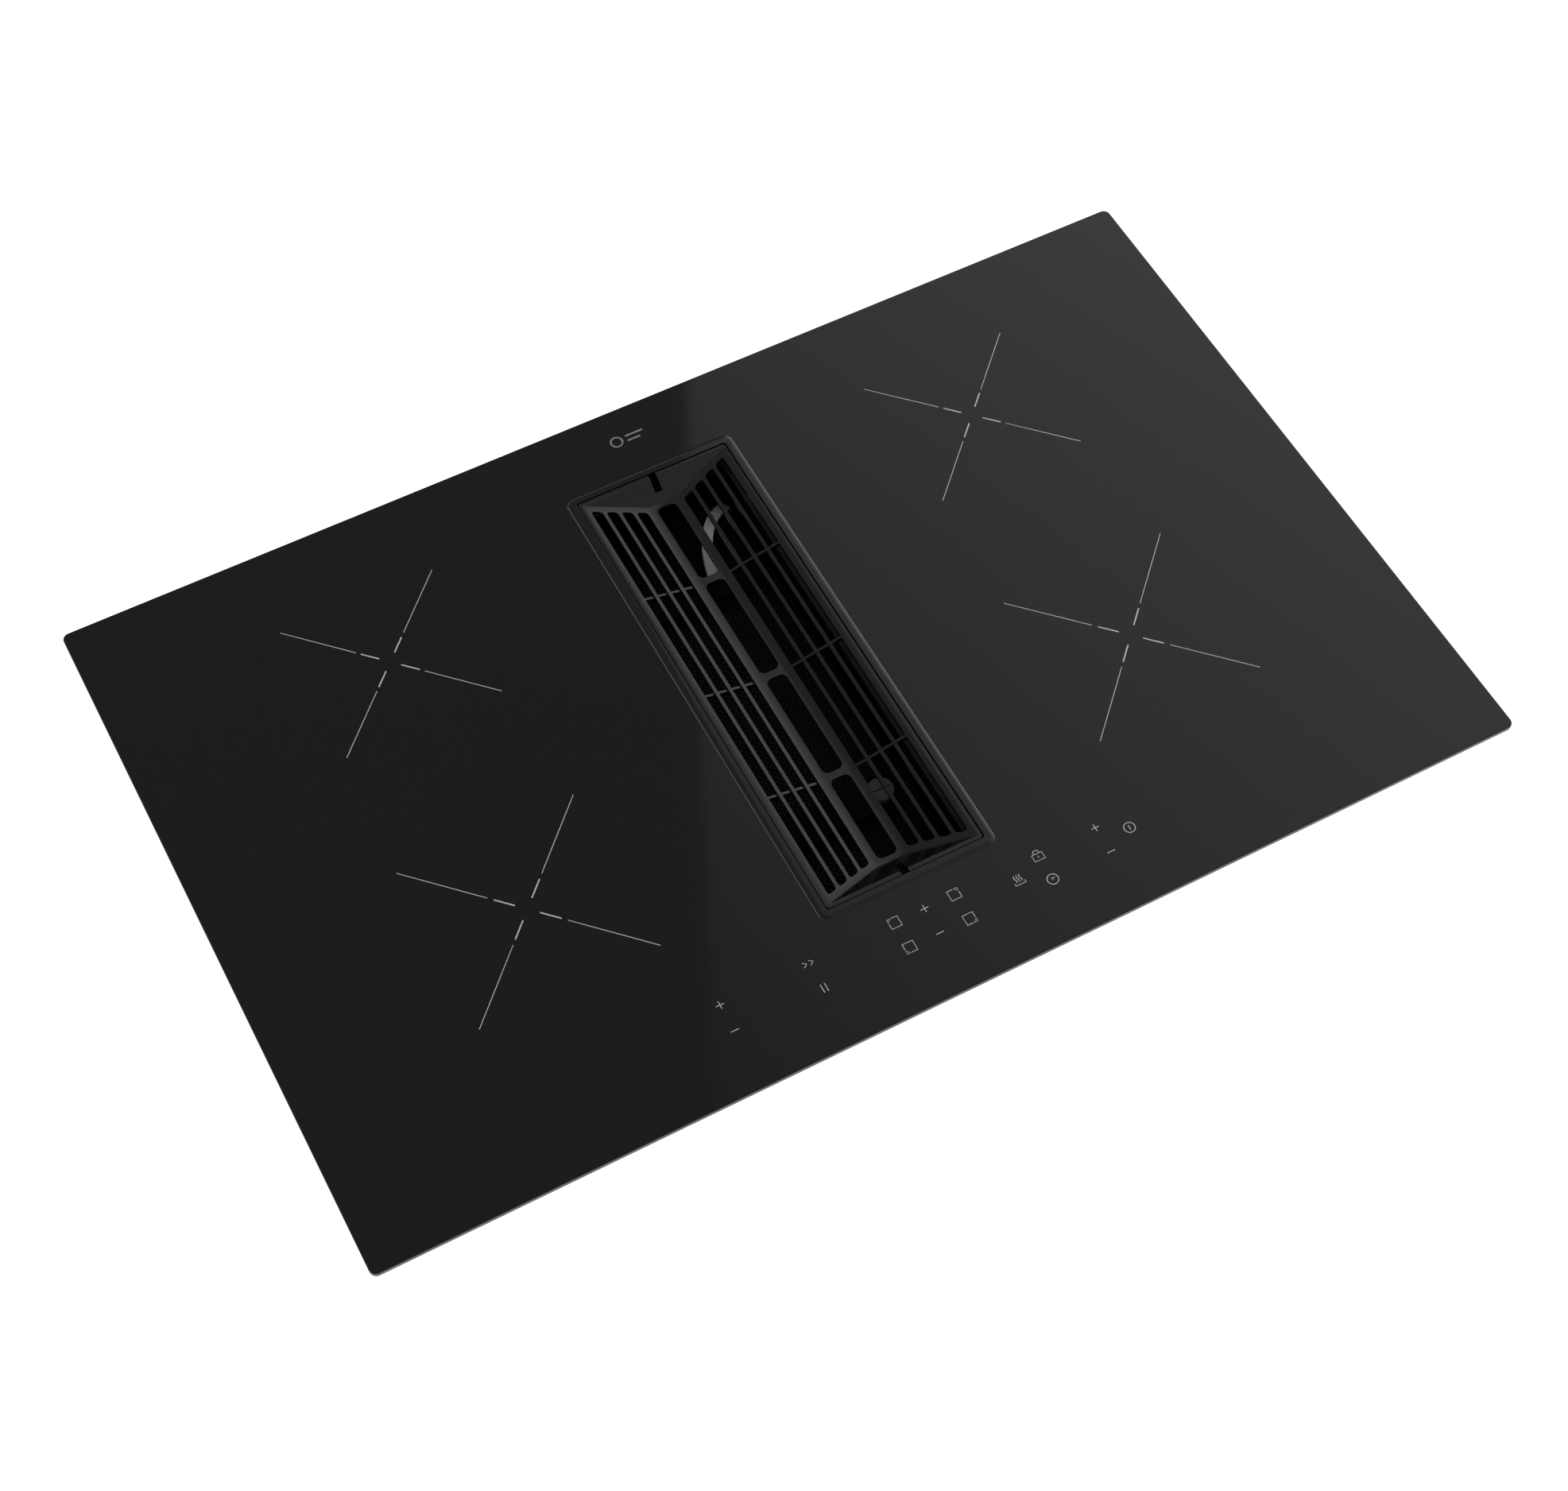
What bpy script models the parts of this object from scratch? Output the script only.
"""Built-in induction hob with a downdraft extractor in its middle.

The glass carries four cooking zones and, between them, a raised bezel with a
lift-out grille. A filter cassette hangs under the grille in the air box, a fan
in a scroll housing draws the air down and blows it out at the back, and a
liquid tank slides out at the front. Coils and electronics lie in a sheet-metal
tray under the glass, left and right of the air box.

Metres, +X to the right, +Y to the back, +Z up. The origin is the middle of the
base, on the surface that the fan housing stands on.
"""
import math

import bmesh
import bpy
from mathutils import Matrix, Vector

MM = 0.001
GAP = 0.3 * MM            # clearance between two pieces that touch

# Glass plate
PLATE_LENGTH = 830 * MM
PLATE_DEPTH = 520 * MM
PLATE_THICKNESS = 4 * MM
PLATE_CORNER = 5 * MM
BODY_HEIGHT = 210 * MM    # from the base up to the underside of the glass
SEAL_INSET = 3 * MM
SEAL_WIDTH = 8 * MM
SEAL_THICKNESS = 2 * MM

# Bezel around the opening
BEZEL_WIDTH = 130 * MM
BEZEL_FRONT_INSET = 83.7 * MM
BEZEL_BACK_INSET = 57.1 * MM
BEZEL_CORNER = 6.5 * MM
BEZEL_INNER_CORNER = 0.8 * MM
BEZEL_RISE = 1.5 * MM
BEZEL_CROWN = ((0.4 * MM, 0.6), (1.6 * MM, 0.92), (3.5 * MM, 1))    # inset, share of the rise
BEZEL_BORDER = 6.6 * MM
BEZEL_OVERLAP = 2.5 * MM  # how far its rim lies on the glass
BEZEL_DROP = 12 * MM
BEZEL_CLEARANCE = 1 * MM

# Grille: a V-shaped trough with long slots
GROOVE = 0.8 * MM
RIM_WIDTH = 2.9 * MM
RIM_HEIGHT = 0.8 * MM     # above the glass
RIM_CORNER = 2.2 * MM
VALLEY_WIDTH = 22.6 * MM
VALLEY_DEPTH = 11.2 * MM  # below the rim
GABLE_RUN = 14.7 * MM
GRILLE_WALL = 3 * MM
SLOPE_SLOTS = 4
SLOPE_MARGIN = 2.85 * MM
SLOPE_BAR = 2.45 * MM
SLOT_END_MARGIN = 5.2 * MM
SLOT_CORNER = 2.5 * MM
VALLEY_SLOT_WIDTH = 14.9 * MM
VALLEY_SLOT_CORNER = 4.5 * MM
VALLEY_BAR = 5.5 * MM
VALLEY_END_MARGIN = 4 * MM
RIB_PITCH = 89.8 * MM
RIB_COUNT = 3
RIB_WIDTH = 2 * MM
RIB_DROP = 1.5 * MM       # its top, under the slope's surface
RIB_HEIGHT = 4.5 * MM
NOTCH_WIDTH = 5.6 * MM
NOTCH_RUN = 12 * MM
NOTCH_DEPTH = 2 * MM

# Air box, with the grille's seat in its top and the shelf for the filter cassette
BOX_WALL = 2 * MM
BOX_CORNER = 5 * MM
SEAT_REACH = 5.2 * MM     # inside the bezel
SEAT_THICKNESS = 2 * MM
SEAT_DROP = 0.7 * MM       # below the air box's rim
SEAT_CORNER = 0.6 * MM
FILTER_LEVEL = 66 * MM    # the shelf's top, below the top of the glass
SHELF_REACH = 10.5 * MM
FILTER_HEIGHT = 20 * MM
FILTER_CLEARANCE = 0.8 * MM
FILTER_WALL = 1.6 * MM
FILTER_LIP = 6 * MM
FILTER_CORNER = 3 * MM
CROSSBAR_WIDTH = 26 * MM
CROSSBAR_SKIN = 0.16 * MM             # of the lip, left over and under a crossbar
MESH_THICKNESS = 8 * MM
HANDLE_WIDTH = 8 * MM
HANDLE_THICKNESS = 2.2 * MM
HANDLE_RISE = 15 * MM
HANDLE_ROUNDNESS = 0.75               # under 1 makes the arch fuller
HANDLE_STEPS = 10
HANDLE_START = (11 * MM, -69 * MM)   # from the cassette's middle in x, its back end in y
HANDLE_ELBOW = (13 * MM, -37 * MM)
HANDLE_END = (48.5 * MM, -14 * MM)
KNOB_RADIUS = 9.4 * MM
KNOB_HEIGHT = 4.2 * MM
KNOB_EDGE = 1 * MM
KNOB_STEM_RADIUS = 3 * MM
KNOB_STEM_REACH = 2 * MM              # past the crossbar's underside
KNOB_SLOT_WIDTH = 1.2 * MM
KNOB_SLOT_LENGTH = 15 * MM
KNOB_SLOT_DEPTH = 1.2 * MM
KNOB_X = 30.5 * MM
KNOB_FROM_FRONT = 175.5 * MM         # of the plate

# Fan: scroll housing, impeller, motor and inlet ring
SCROLL_WALL = 2 * MM
SCROLL_FLOOR = 2.5 * MM
SCROLL_CLEARANCE = 6 * MM     # between impeller and wall, where the spiral starts
SCROLL_GROWTH = 36 * MM       # of its radius, from the spiral's start to its end
TONGUE_ANGLE = 150        # degrees, where the spiral starts
FRONT_ANGLE = 270         # degrees, where it faces the front
END_ANGLE = 360           # degrees, where it opens into the outlet
SPIRAL_STEPS = 14
OUTLET_RUN = 165 * MM     # from the fan's axis to the housing's open end
IMPELLER_RADIUS = 78 * MM
IMPELLER_RING_WIDTH = 16 * MM
BLADE_COUNT = 30
BLADE_DEPTH = 19 * MM
BLADE_THICKNESS = 1.4 * MM
BLADE_INSET = 1 * MM      # of its tip, from the impeller's edge
BLADE_TURN = 28           # degrees away from the radius
IMPELLER_PLATE = 2 * MM
IMPELLER_RING = 3 * MM
IMPELLER_TOP_CLEARANCE = 7 * MM
IMPELLER_FLOOR_CLEARANCE = 6 * MM
MOTOR_RADIUS = 44 * MM
MOTOR_HEIGHT = 46 * MM
MOTOR_CLEARANCE = 3.5 * MM
MOTOR_SHOULDER = 11 * MM
MOTOR_CHAMFER = 8 * MM
SHAFT_RADIUS = 4 * MM
SHAFT_LENGTH = 40 * MM
SHAFT_STANDOUT = 3 * MM   # above the impeller's cup
SHAFT_CLEARANCE = 2 * MM  # under its lower end
INLET_RADIUS = 48 * MM
INLET_WALL = 2 * MM
INLET_FLANGE = 7 * MM     # beyond its outside
INLET_FLARE = 3 * MM
INLET_DEPTH = 14 * MM
INLET_LIP = 4 * MM

# Outlet collar for a flat duct, with its non-return flap
COLLAR_WIDTH = 218 * MM
COLLAR_HEIGHT = 88 * MM
COLLAR_MARGIN = 4 * MM    # from the collar to the fan housing's outside, below and above
COLLAR_FLANGE = 2 * MM
COLLAR_WALL = 2.2 * MM
COLLAR_LENGTH = 60 * MM
COLLAR_CORNER = 6 * MM
COLLAR_INSET = 25 * MM    # of its open end, from the plate's back edge
FLAP_THICKNESS = 1.8 * MM
FLAP_CLEARANCE = 2 * MM
FLAP_SLEEVE_RADIUS = 4 * MM
FLAP_PIN_RADIUS = 2 * MM
FLAP_PIN_DROP = 7 * MM    # of the pin, under the collar's roof
FLAP_PIN_FROM_END = 24 * MM

# Liquid tank under the front of the air box
TANK_WIDTH = 89 * MM
TANK_CLEARANCE = 10.2 * MM           # behind it, to the fan housing
TANK_HEIGHT = 34 * MM
TANK_WALL = 2 * MM
TANK_LIP = 4 * MM
TANK_CORNER = 6 * MM
TANK_FRONT_INSET = 5 * MM
RAIL_WALL = 2 * MM
RAIL_CLEARANCE = 1 * MM
DRAIN_RADIUS = 7 * MM

# Sheet-metal tray
TRAY_INSET = 14 * MM      # of its lip, from the plate's edge
TRAY_LIP = 5 * MM
TRAY_DEPTH = 54 * MM
TRAY_WALL = 1.2 * MM
TRAY_DRAFT_X = 10 * MM
TRAY_DRAFT_Y = 12 * MM
TRAY_CORNER = 12 * MM
TRAY_OPENING_CLEARANCE = 1.5 * MM
VENT_COUNT = 5
VENT_LENGTH = 52 * MM
VENT_WIDTH = 5 * MM
VENT_PITCH = 11 * MM

# Cooking zones: coil stack on an aluminium shelf
ZONE_SIDE_INSET = 188.4 * MM
ZONES = {                 # centre from the front edge, coil's outer and inner radius
    "front": (181.5 * MM, 86 * MM, 20 * MM),
    "rear": (396.5 * MM, 76 * MM, 20 * MM),
}
SHELF_DEPTH = 23 * MM     # its top, below the underside of the glass
SHELF_THICKNESS = 1 * MM
SHELF_SIDE_CLEARANCE = 7 * MM
SHELF_FRONT_CLEARANCE = 52 * MM
SHELF_BACK_CLEARANCE = 7 * MM
CARRIER_HEIGHT = 14 * MM
CARRIER_MARGIN = 2 * MM
COIL_HEIGHT = 5 * MM
SHIELD_HEIGHT = 2.6 * MM
SENSOR_RADIUS = 8 * MM
SENSOR_CLEARANCE = 2 * MM

# Electronics in each bay
BOARD_THICKNESS = 1.6 * MM
BOARD_STANDOFF = 5 * MM
BOARD_WIDTH = 150 * MM
BOARD_DEPTH = 230 * MM
BOARD_WALL_GAP = 12 * MM
BOARD_FROM_BACK = 92 * MM
BOARD_CORNER = 3 * MM
BOARD_FOOT = 4 * MM
PARTS_ON_BOARD = (        # x and y from the board's outer front corner, width, depth, height
    (14 * MM, 20 * MM, 34 * MM, 30 * MM, 14 * MM),
    (14 * MM, 62 * MM, 34 * MM, 30 * MM, 14 * MM),
    (64 * MM, 24 * MM, 28 * MM, 44 * MM, 12 * MM),
    (104 * MM, 18 * MM, 30 * MM, 18 * MM, 8 * MM),
    (20 * MM, 120 * MM, 46 * MM, 16 * MM, 9 * MM),
    (90 * MM, 110 * MM, 36 * MM, 52 * MM, 6 * MM),
    (24 * MM, 170 * MM, 24 * MM, 38 * MM, 13 * MM),
)
SINK_WIDTH = 56 * MM
SINK_LENGTH = 130 * MM
SINK_HEIGHT = 20 * MM
SINK_BASE = 4 * MM
SINK_FINS = 9
SINK_FIN_WIDTH = 1.6 * MM
COOLER_SIZE = 80 * MM
COOLER_HEIGHT = 24 * MM
COOLER_BORE = 37 * MM
COOLER_HUB = 14 * MM
COOLER_BLADES = 7
COOLER_BLADE_PITCH = 35   # degrees
COOLER_BLADE_WIDTH = 18 * MM
COOLER_BLADE_THICKNESS = 1.4 * MM
COOLER_BLADE_ROOT = 2 * MM
COOLER_CORNER = 5 * MM
COOLER_SPOKE = 2 * MM
COOLER_TIP_CLEARANCE = 2 * MM
COOLER_FROM_BACK = 100 * MM
BAY_CLEARANCE = 12 * MM   # from the air box to the pieces beside it
FLOOR_STANDOFF = 0.5 * MM

# Touch control board behind the front edge
TOUCH_LENGTH = 318 * MM
TOUCH_DEPTH = 36 * MM
TOUCH_THICKNESS = 1.6 * MM
TOUCH_CORNER = 2 * MM
TOUCH_FRONT_INSET = 34 * MM
TOUCH_BELOW_GLASS = 5 * MM
HOLDER_THICKNESS = 1.6 * MM

# Mains terminals, gland and fixings
TERMINAL_SIZE = (62 * MM, 30 * MM, 16 * MM)
TERMINAL_WELLS = 5
TERMINAL_WELL_RADIUS = 3.4 * MM
TERMINAL_WELL_DEPTH = 11.2 * MM
TERMINAL_CLEARANCE = 1 * MM
TERMINAL_FROM_BACK = 62 * MM
TERMINAL_WALL_GAP = 40 * MM
COVER_MARGIN = 6 * MM
COVER_THICKNESS = 1.5 * MM
COVER_CORNER = 4 * MM
GLAND_RADIUS = 10 * MM
GLAND_NUT_RADIUS = 14 * MM
GLAND_BORE = 5.5 * MM
GLAND_OUTSIDE = 20 * MM
GLAND_INSIDE = 8 * MM
GLAND_NUT_LENGTH = 6 * MM
GLAND_TAPER = 2 * MM
GLAND_CLEARANCE = 1 * MM
GLAND_DEPTH = 30 * MM     # its axis, below the underside of the glass
CLIP_WIDTH = 20 * MM
CLIP_THICKNESS = 1 * MM
CLIP_REACH = 5 * MM
CLIP_CLEARANCE = 0.5 * MM
CLIP_TOP = 8 * MM         # its levels, below the underside of the glass
CLIP_FOOT = 26 * MM
CLIP_BELLY = 36 * MM
CLIP_TAIL = 46 * MM
CLIP_SPREAD = 150 * MM    # of each clip from the middle, front and back
SCREW_RADIUS = 2 * MM
SCREW_HEAD_RADIUS = 4 * MM
SCREW_HEAD_HEIGHT = 2.2 * MM
SCREW_HEAD_CROWN = (0.6, 0.4)    # shares of its radius and height where it rounds over
SCREW_CLEARANCE = 0.8 * MM
SCREW_LENGTH = 8 * MM
SCREW_DEPTH = 17 * MM     # its axis, below the underside of the glass

# Fineness of round shapes, and the allowances that the cutters keep
ROUND_STEPS = 24
SMALL_STEPS = 12
FAN_STEPS = 32
SMOOTH_ANGLE = 40         # degrees
MERGE_DISTANCE = 0.01 * MM
CUT_MARGIN = 5 * MM       # how far a cutter reaches past what it cuts
SKIM = 0.05 * MM          # keeps the faces of joined shapes from coinciding

# Levels and centres that follow from the sizes above
GLASS_TOP = BODY_HEIGHT + PLATE_THICKNESS
PLATE_HALF_X = PLATE_LENGTH / 2
PLATE_HALF_Y = PLATE_DEPTH / 2
BEZEL_HALF_X = BEZEL_WIDTH / 2
BEZEL_HALF_Y = (PLATE_DEPTH - BEZEL_FRONT_INSET - BEZEL_BACK_INSET) / 2
OPENING_Y = (BEZEL_FRONT_INSET - BEZEL_BACK_INSET) / 2
BEZEL_SKIRT = BEZEL_OVERLAP + BEZEL_CLEARANCE
BOX_INSET = BEZEL_SKIRT + BEZEL_CLEARANCE    # of the air box, from the bezel's outline
BOX_HALF_X = BEZEL_HALF_X - BOX_INSET
BOX_HALF_Y = BEZEL_HALF_Y - BOX_INSET
BOX_TOP = GLASS_TOP - BEZEL_DROP - GAP
SCROLL_HEIGHT = COLLAR_HEIGHT + 2 * COLLAR_MARGIN
SCROLL_START_RADIUS = IMPELLER_RADIUS + SCROLL_CLEARANCE + SCROLL_WALL
SPIRAL_SLOPE = SCROLL_GROWTH / (END_ANGLE - TONGUE_ANGLE)
SCROLL_FRONT = SCROLL_START_RADIUS + SPIRAL_SLOPE * (FRONT_ANGLE - TONGUE_ANGLE)
MOTOR_LOW = SCROLL_FLOOR + GAP
MOTOR_TOP = MOTOR_LOW + MOTOR_HEIGHT
CUP_TOP = MOTOR_TOP + MOTOR_CLEARANCE + IMPELLER_PLATE
SHAFT_TOP = CUP_TOP + SHAFT_STANDOUT
SHAFT_LOW = SHAFT_TOP - SHAFT_LENGTH
BOX_BOTTOM = SCROLL_HEIGHT + GAP
SHELF_TOP = GLASS_TOP - FILTER_LEVEL
FILTER_INSET = BEZEL_BORDER + SEAT_REACH + FILTER_CLEARANCE
FILTER_HALF_X = BEZEL_HALF_X - FILTER_INSET
FILTER_HALF_Y = BEZEL_HALF_Y - FILTER_INSET
FILTER_BOTTOM = SHELF_TOP + GAP
KNOB_Y = KNOB_FROM_FRONT - PLATE_HALF_Y
OUTLET_END = PLATE_HALF_Y - COLLAR_INSET
FAN_Y = OUTLET_END - COLLAR_LENGTH - OUTLET_RUN
TRAY_TOP = BODY_HEIGHT - GAP
TRAY_FLOOR = BODY_HEIGHT - TRAY_DEPTH        # its underside
TRAY_INSIDE = TRAY_FLOOR + TRAY_WALL
TRAY_HALF_X = PLATE_HALF_X - TRAY_INSET - TRAY_LIP
TRAY_HALF_Y = PLATE_HALF_Y - TRAY_INSET - TRAY_LIP
BAY_HALF_X = TRAY_HALF_X - TRAY_DRAFT_X - TRAY_WALL
BAY_HALF_Y = TRAY_HALF_Y - TRAY_DRAFT_Y - TRAY_WALL
COIL_SHELF_TOP = BODY_HEIGHT - SHELF_DEPTH
SIDES = {"left": -1, "right": 1}

# Colour, roughness and metallic value of each finish
FINISHES = {
    "glass": ((0.012, 0.012, 0.012), 0.10, 0.0),
    "foam": ((0.03, 0.03, 0.03), 0.95, 0.0),
    "black_cast": ((0.02, 0.02, 0.02), 0.38, 0.2),
    "dark_plastic": ((0.03, 0.03, 0.032), 0.5, 0.0),
    "light_plastic": ((0.55, 0.56, 0.56), 0.45, 0.0),
    "steel_mesh": ((0.30, 0.30, 0.30), 0.4, 1.0),
    "zinc_steel": ((0.55, 0.56, 0.57), 0.35, 1.0),
    "aluminium": ((0.75, 0.76, 0.78), 0.3, 1.0),
    "copper": ((0.72, 0.35, 0.18), 0.35, 1.0),
    "mica": ((0.55, 0.48, 0.36), 0.7, 0.0),
    "board": ((0.03, 0.16, 0.07), 0.45, 0.0),
    "carrier": ((0.10, 0.10, 0.11), 0.6, 0.0),
    "steel": ((0.6, 0.6, 0.6), 0.25, 1.0),
}


# ---------------------------------------------------------------- scene set-up

def clear_scene():
    """Remove whatever the file holds."""
    for obj in list(bpy.data.objects):
        bpy.data.objects.remove(obj, do_unlink=True)


def new_collection(name):
    """A collection linked to the scene."""
    collection = bpy.data.collections.new(name)
    bpy.context.scene.collection.children.link(collection)
    return collection


def new_material(name, finish):
    """A Principled material for one piece."""
    colour, roughness, metallic = FINISHES[finish]
    material = bpy.data.materials.new(name)
    material.use_nodes = True
    shader = material.node_tree.nodes["Principled BSDF"]
    shader.inputs["Base Color"].default_value = (*colour, 1)
    shader.inputs["Roughness"].default_value = roughness
    shader.inputs["Metallic"].default_value = metallic
    return material


def add(name, mesh, location=(0, 0, 0), rotation=(0, 0, 0)):
    """A bare object, not yet a piece or a cutter."""
    obj = bpy.data.objects.new(name, mesh)
    obj.location = location
    obj.rotation_euler = rotation
    return obj


def piece(obj, finish, parent=None):
    """Put an object among the hob's pieces, with its own material."""
    PIECES.objects.link(obj)
    obj.data.materials.append(new_material(obj.name + "_finish", finish))
    obj.parent = parent
    return obj


def anchor(name, location):
    """An empty that carries pieces."""
    empty = bpy.data.objects.new(name, None)
    empty.location = location
    PIECES.objects.link(empty)
    return empty


def boolean(target, tool, operation):
    """Cut or join a target with a tool that shares its parent and place."""
    CUTTERS.objects.link(tool)
    tool.hide_render = True
    tool.display_type = "WIRE"
    tool.parent = target
    modifier = target.modifiers.new(tool.name, "BOOLEAN")
    modifier.operation = operation
    modifier.solver = "EXACT"
    modifier.object = tool


def cut(target, tool):
    """Take a tool's shape out of the target, in the target's own frame."""
    boolean(target, tool, "DIFFERENCE")


def fuse(target, tool):
    """Join a tool's shape to the target, in the target's own frame."""
    boolean(target, tool, "UNION")


# ---------------------------------------------------------------- shapes

def mesh_from(bm, name, smooth_angle=None):
    """A mesh from a bmesh, its faces pointing out."""
    bmesh.ops.recalc_face_normals(bm, faces=bm.faces)
    mesh = bpy.data.meshes.new(name)
    bm.to_mesh(mesh)
    bm.free()
    if smooth_angle is not None:
        mesh.shade_smooth()
        mesh.set_sharp_from_angle(angle=math.radians(smooth_angle))
    return mesh


def add_box(bm, low, high):
    """A box between two corners, in a bmesh."""
    middle = (Vector(low) + Vector(high)) / 2
    size = Vector(high) - Vector(low)
    placed = Matrix.Translation(middle) @ Matrix.Diagonal((*size, 1))
    return bmesh.ops.create_cube(bm, size=1, matrix=placed)["verts"]


def boxes(name, corners):
    """A mesh of boxes, each given by its two corners."""
    bm = bmesh.new()
    for low, high in corners:
        add_box(bm, low, high)
    return mesh_from(bm, name)


def cylinder(name, radius, low, high, steps=SMALL_STEPS):
    """A cylinder along Z between two levels."""
    bm = bmesh.new()
    middle = Matrix.Translation((0, 0, (low + high) / 2))
    bmesh.ops.create_cone(bm, cap_ends=True, segments=steps, radius1=radius,
                          radius2=radius, depth=high - low, matrix=middle)
    return mesh_from(bm, name, SMOOTH_ANGLE)


def rounded_rectangle(half_x, half_y, radius, centre_y=0.0, steps=3):
    """Points of a rectangle with round corners, anticlockwise."""
    points = []
    for quarter, (side_x, side_y) in enumerate(((1, 1), (-1, 1), (-1, -1), (1, -1))):
        for step in range(steps + 1):
            angle = math.radians(90 * (quarter + step / steps))
            points.append((side_x * (half_x - radius) + radius * math.cos(angle),
                           side_y * (half_y - radius) + radius * math.sin(angle) + centre_y))
    return points


def rounded_polygon(corners, radius, steps=3):
    """Points of a polygon whose corners are rounded."""
    points = []
    for index, corner in enumerate(corners):
        corner = Vector(corner)
        back = (Vector(corners[index - 1]) - corner).normalized()
        ahead = (Vector(corners[(index + 1) % len(corners)]) - corner).normalized()
        half = back.angle(ahead) / 2
        start = corner + back * radius / math.tan(half)
        centre = corner + (back + ahead).normalized() * radius / math.sin(half)
        first = start - centre
        sweep = (corner + ahead * radius / math.tan(half) - centre).angle_signed(first)
        for step in range(steps + 1):
            turned = Matrix.Rotation(sweep * step / steps, 2) @ first
            points.append(tuple(centre + turned))
    return points


def circle(radius, centre=(0, 0), steps=ROUND_STEPS):
    """Points of a circle, anticlockwise."""
    return [(centre[0] + radius * math.cos(2 * math.pi * k / steps),
             centre[1] + radius * math.sin(2 * math.pi * k / steps)) for k in range(steps)]


def flat_solid(name, outlines, low, high):
    """A mesh of flat outlines between two levels; an outline inside another is a hole."""
    curve = bpy.data.curves.new(name, "CURVE")
    curve.dimensions = "2D"
    curve.fill_mode = "BOTH"
    curve.extrude = (high - low) / 2
    for outline in outlines:
        spline = curve.splines.new("POLY")
        spline.points.add(len(outline) - 1)
        for point, (x, y) in zip(spline.points, outline):
            point.co = (x, y, 0, 1)
        spline.use_cyclic_u = True
    drawn = bpy.data.objects.new(name, curve)
    bpy.context.scene.collection.objects.link(drawn)
    bpy.context.view_layer.update()
    evaluated = drawn.evaluated_get(bpy.context.evaluated_depsgraph_get())
    mesh = bpy.data.meshes.new_from_object(evaluated)
    bpy.data.objects.remove(drawn)
    bpy.data.curves.remove(curve)
    mesh.materials.clear()
    bm = bmesh.new()
    bm.from_mesh(mesh)
    bpy.data.meshes.remove(mesh)
    bmesh.ops.remove_doubles(bm, verts=bm.verts, dist=MERGE_DISTANCE)
    bmesh.ops.translate(bm, verts=bm.verts, vec=(0, 0, (low + high) / 2))
    return mesh_from(bm, name)


def loft(name, sections, closed=False):
    """A skin over outlines with the same number of points, each at its own level.

    A closed loft runs from the last outline back to the first, as a frame does.
    An open one is capped at both ends.
    """
    bm = bmesh.new()
    rings = [[bm.verts.new((x, y, level)) for x, y in outline] for outline, level in sections]
    pairs = list(zip(rings, rings[1:]))
    if closed:
        pairs.append((rings[-1], rings[0]))
    else:
        bm.faces.new(rings[0])
        bm.faces.new(rings[-1])
    for near, far in pairs:
        for index in range(len(near)):
            after = (index + 1) % len(near)
            bm.faces.new((near[index], near[after], far[after], far[index]))
    return mesh_from(bm, name)


def lathe(name, profile, steps, closed=False):
    """An object turned from a profile of (radius, level) points.

    The profile's outer side runs from top to bottom. A closed profile makes a ring.
    """
    bm = bmesh.new()
    points = [bm.verts.new((radius, 0, level)) for radius, level in profile]
    for first, second in zip(points, points[1:]):
        bm.edges.new((first, second))
    if closed:
        bm.edges.new((points[-1], points[0]))
    mesh = bpy.data.meshes.new(name)
    bm.to_mesh(mesh)
    bm.free()
    obj = add(name, mesh)
    screw = obj.modifiers.new("turn", "SCREW")
    screw.axis = "Z"
    screw.angle = 2 * math.pi
    screw.steps = steps
    screw.render_steps = steps
    screw.use_merge_vertices = True
    screw.merge_threshold = MERGE_DISTANCE
    screw.use_smooth_shade = False
    return obj


def folded_sheet(name, fold, width, thickness):
    """A strip of sheet folded along (x, z) points, its width along Y."""
    bm = bmesh.new()
    near = [bm.verts.new((x, -width / 2, z)) for x, z in fold]
    edges = [bm.edges.new(pair) for pair in zip(near, near[1:])]
    swept = bmesh.ops.extrude_edge_only(bm, edges=edges)["geom"]
    verts = [item for item in swept if isinstance(item, bmesh.types.BMVert)]
    bmesh.ops.translate(bm, verts=verts, vec=(0, width, 0))
    mesh = bpy.data.meshes.new(name)
    bm.to_mesh(mesh)
    bm.free()
    obj = add(name, mesh)
    solidify(obj, thickness)
    return obj


def solidify(obj, thickness):
    """Give an open surface its thickness, half on each side."""
    modifier = obj.modifiers.new("wall", "SOLIDIFY")
    modifier.thickness = thickness
    modifier.offset = 0
    modifier.use_even_offset = True


def moved(points, offset):
    """Points shifted by an (x, y) offset."""
    return [(x + offset[0], y + offset[1]) for x, y in points]


# ---------------------------------------------------------------- glass and bezel

def bezel_outline(inset):
    """The bezel's outline, moved inwards."""
    radius = max(BEZEL_CORNER - inset, BEZEL_INNER_CORNER)
    return rounded_rectangle(BEZEL_HALF_X - inset, BEZEL_HALF_Y - inset, radius, OPENING_Y)


def make_glass():
    """Glass plate with the opening for the bezel."""
    outline = rounded_rectangle(PLATE_HALF_X, PLATE_HALF_Y, PLATE_CORNER, steps=4)
    opening = bezel_outline(BEZEL_OVERLAP)
    mesh = flat_solid("glass_plate", [outline, opening], 0, PLATE_THICKNESS)
    piece(add("glass_plate", mesh, (0, 0, BODY_HEIGHT)), "glass")


def make_seal():
    """Foam strip between the glass and the worktop."""
    outer = rounded_rectangle(PLATE_HALF_X - SEAL_INSET, PLATE_HALF_Y - SEAL_INSET, PLATE_CORNER)
    width = SEAL_INSET + SEAL_WIDTH
    inner = rounded_rectangle(PLATE_HALF_X - width, PLATE_HALF_Y - width, PLATE_CORNER)
    mesh = flat_solid("edge_seal", [outer, inner], -SEAL_THICKNESS, 0)
    piece(add("edge_seal", mesh, (0, 0, BODY_HEIGHT - GAP)), "foam")


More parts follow.
